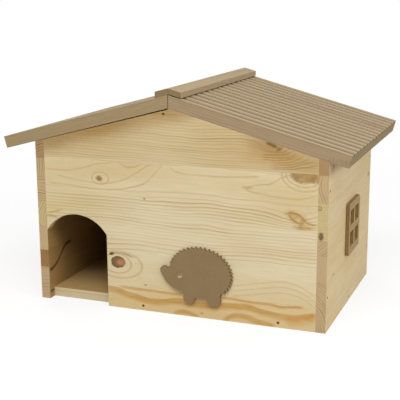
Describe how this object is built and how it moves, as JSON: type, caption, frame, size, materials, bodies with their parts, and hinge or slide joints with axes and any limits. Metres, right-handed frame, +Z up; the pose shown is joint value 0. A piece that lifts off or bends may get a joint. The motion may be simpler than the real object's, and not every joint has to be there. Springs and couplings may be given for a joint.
{
  "type": "hedgehog house",
  "caption": "Pine hedgehog house with an arched side entrance, inner passage, nest chamber and a grooved gable roof whose left half swings up on hinges.",
  "frame": {"origin": "on the ground under the ridge line, halfway from the figure's face to the roof's back edge", "axes": "+X to the right along the front seen from the entrance side, +Y from the front to the back, +Z up"},
  "size_m": [0.5939, 0.387, 0.3698],
  "materials": {
    "pine": "planed untreated pine with knots and orange latewood lines",
    "treated_pine": "grooved pressure-treated pine, greyish brown",
    "brown_board": "matt brown fibreboard with darker cut edges",
    "zinc_steel": "bright zinc-plated steel"
  },
  "bodies": {
    "house": {"floor_board": "pine", "front_panel": "pine", "back_panel": "pine", "left_wall": "pine", "right_wall": "pine", "inner_partition": "pine", "ridge_beam": "pine", "eave_cleat": "pine", "right_roof_front_board": "treated_pine", "right_roof_rear_board": "treated_pine", "hedgehog_figure": "brown_board", "window_frame": "brown_board", "hinge_wall_leaves": "zinc_steel", "hinge_pins": "zinc_steel", "hinge_wall_screws": "zinc_steel", "panel_nails": "zinc_steel", "floor_nails": "zinc_steel", "ridge_nails": "zinc_steel", "partition_nails": "zinc_steel", "eave_cleat_screws": "zinc_steel", "eave_roof_screws": "zinc_steel", "beam_roof_screws": "zinc_steel"},
    "roof_flap": {"left_roof_front_board": "treated_pine", "left_roof_rear_board": "treated_pine", "flap_cleat": "pine", "ridge_cap": "treated_pine", "hinge_roof_leaves": "zinc_steel", "hinge_roof_screws": "zinc_steel", "flap_cleat_screws": "zinc_steel", "cap_screws": "zinc_steel"}
  },
  "joints": [
    {"name": "roof_flap_hinge", "type": "hinge", "parent": "house", "child": "roof_flap", "pos_m": [-0.2443, 0, 0.2697], "axis": [0, -1, 0], "range_deg": [0, 75]}
  ]
}
